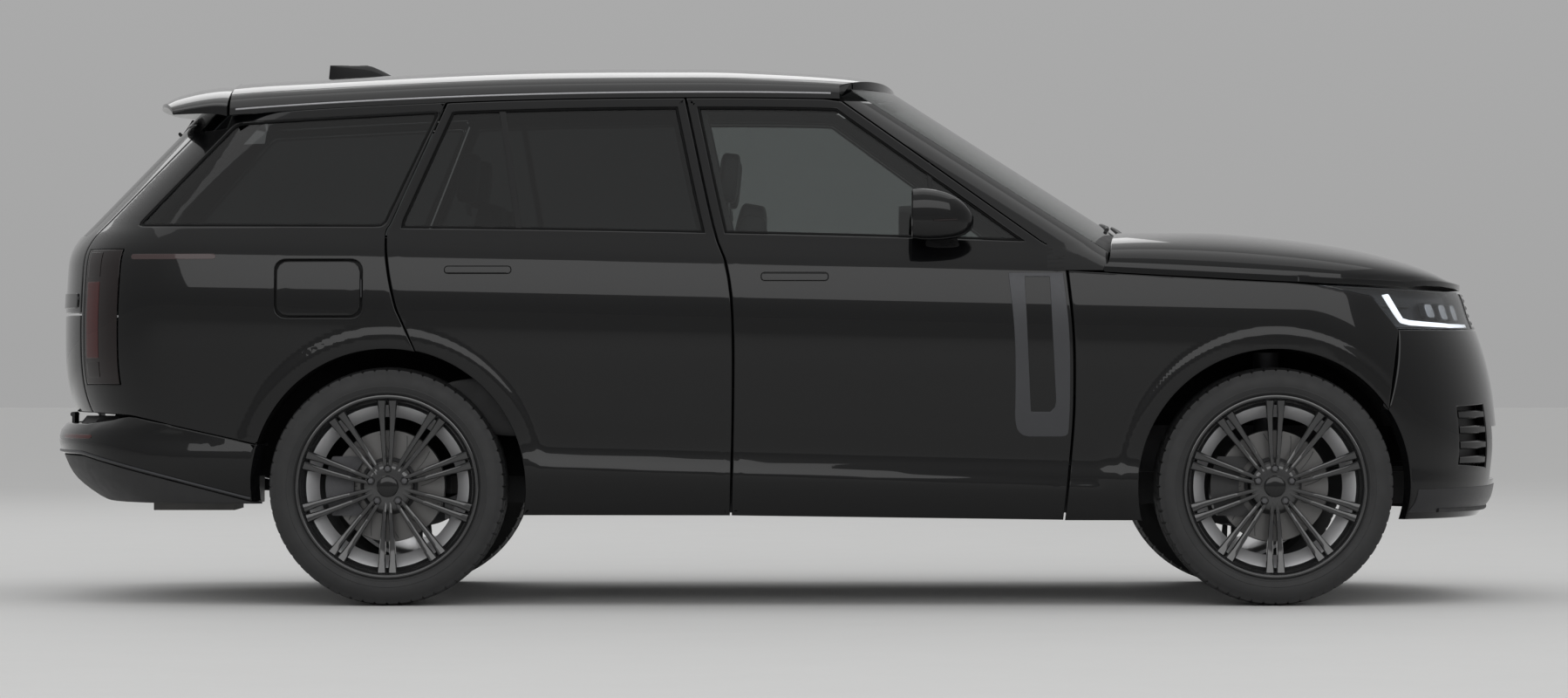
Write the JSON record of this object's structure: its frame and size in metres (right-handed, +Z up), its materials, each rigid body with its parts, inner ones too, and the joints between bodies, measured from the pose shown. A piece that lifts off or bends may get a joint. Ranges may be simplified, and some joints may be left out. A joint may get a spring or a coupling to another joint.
{
  "type": "sport utility vehicle",
  "caption": "Large luxury sport utility vehicle with flush doors, clamshell bonnet, split tailgate, steered front wheels and a hollow cabin.",
  "frame": {"origin": "on the ground, under the middle of the car's length and width", "axes": "+X forward, +Y to the car's left, +Z up"},
  "size_m": [5.0467, 2.2066, 1.8596],
  "materials": {
    "paint": "gloss",
    "gloss_black": "gloss",
    "glass": "polished",
    "pressed_steel": "satin",
    "cast": "matte",
    "steel": "brushed",
    "lamp_clear": "gloss",
    "lamp_red": "gloss",
    "trim": "matte",
    "liner": "matte",
    "leather": "grained",
    "satin_trim": "satin",
    "wheel": "gloss",
    "tyre": "matte"
  },
  "bodies": {
    "body": {"floor_pan": "pressed_steel", "sills": "pressed_steel", "pillars": "gloss_black", "roof_rails": "gloss_black", "fenders": "paint", "quarters": "paint", "roof": "paint", "windscreen": "glass", "quarter_glass": "glass", "front_bumper": "paint", "rear_bumper": "paint", "grille": "gloss_black", "headlamps": "lamp_clear", "tail_lamps": "lamp_red", "bulkhead": "pressed_steel", "engine": "cast", "front_axle": "cast", "rear_axle": "cast", "exhaust": "steel", "hinges": "cast", "front_seats": "leather", "rear_seat": "leather", "dashboard": "trim", "steering_wheel": "trim", "arch_liners": "liner"},
    "bonnet": {"bonnet": "paint"},
    "tailgate": {"tailgate": "paint", "tailgate_glass": "glass"},
    "drop_gate": {"drop_gate": "paint"},
    "fuel_flap": {"fuel_flap": "paint"},
    "front_door_left": {"front_door_left": "paint", "front_glass_left": "glass", "mirror_left": "paint", "door_vent_left": "satin_trim"},
    "rear_door_left": {"rear_door_left": "paint", "rear_glass_left": "glass"},
    "knuckle_left": {"knuckle_left": "cast"},
    "wheel_front_left": {"wheel_front_left": "wheel", "tyre_front_left": "tyre"},
    "wheel_rear_left": {"wheel_rear_left": "wheel", "tyre_rear_left": "tyre"},
    "front_door_right": {"front_door_right": "paint", "front_glass_right": "glass", "mirror_right": "paint", "door_vent_right": "satin_trim"},
    "rear_door_right": {"rear_door_right": "paint", "rear_glass_right": "glass"},
    "knuckle_right": {"knuckle_right": "cast"},
    "wheel_front_right": {"wheel_front_right": "wheel", "tyre_front_right": "tyre"},
    "wheel_rear_right": {"wheel_rear_right": "wheel", "tyre_rear_right": "tyre"}
  },
  "joints": [
    {"name": "steer_left", "type": "hinge", "parent": "body", "child": "knuckle_left", "pos_m": [1.678, 0.765, 0.402], "axis": [0, 0, 1], "range_deg": [-35, 35]},
    {"name": "steer_right", "type": "hinge", "parent": "body", "child": "knuckle_right", "pos_m": [1.678, -0.765, 0.402], "axis": [0, 0, 1], "range_deg": [-35, 35]},
    {"name": "spin_front_left", "type": "hinge", "parent": "knuckle_left", "child": "wheel_front_left", "pos_m": [1.678, 0.84, 0.402], "axis": [0, 1, 0], "continuous": true},
    {"name": "spin_rear_left", "type": "hinge", "parent": "body", "child": "wheel_rear_left", "pos_m": [-1.319, 0.84, 0.402], "axis": [0, 1, 0], "continuous": true},
    {"name": "open_front_door_left", "type": "hinge", "parent": "body", "child": "front_door_left", "pos_m": [1, 1.003, 0.75], "axis": [0, 0, -1], "range_deg": [0, 65]},
    {"name": "open_rear_door_left", "type": "hinge", "parent": "body", "child": "rear_door_left", "pos_m": [-0.15, 1.004, 0.75], "axis": [0, 0, -1], "range_deg": [0, 65]},
    {"name": "spin_front_right", "type": "hinge", "parent": "knuckle_right", "child": "wheel_front_right", "pos_m": [1.678, -0.84, 0.402], "axis": [0, 1, 0], "continuous": true},
    {"name": "spin_rear_right", "type": "hinge", "parent": "body", "child": "wheel_rear_right", "pos_m": [-1.319, -0.84, 0.402], "axis": [0, 1, 0], "continuous": true},
    {"name": "open_front_door_right", "type": "hinge", "parent": "body", "child": "front_door_right", "pos_m": [1, -1.003, 0.75], "axis": [0, 0, 1], "range_deg": [0, 65]},
    {"name": "open_rear_door_right", "type": "hinge", "parent": "body", "child": "rear_door_right", "pos_m": [-0.15, -1.004, 0.75], "axis": [0, 0, 1], "range_deg": [0, 65]},
    {"name": "open_bonnet", "type": "hinge", "parent": "body", "child": "bonnet", "pos_m": [1.07, 0, 1.2], "axis": [0, -1, 0], "range_deg": [0, 45]},
    {"name": "open_tailgate", "type": "hinge", "parent": "body", "child": "tailgate", "pos_m": [-1.8824, 0, 1.788], "axis": [0, 1, 0], "range_deg": [0, 75]},
    {"name": "open_drop_gate", "type": "hinge", "parent": "body", "child": "drop_gate", "pos_m": [-2.451, 0, 0.6396], "axis": [0, -1, 0], "range_deg": [0, 90]},
    {"name": "open_fuel_flap", "type": "hinge", "parent": "body", "child": "fuel_flap", "pos_m": [-1.405, -0.9852, 1.07], "axis": [0, 0, 1], "range_deg": [0, 80]}
  ],
  "couplings": [
    {"joint": "steer_right", "follows": "steer_left", "ratio": 1}
  ]
}
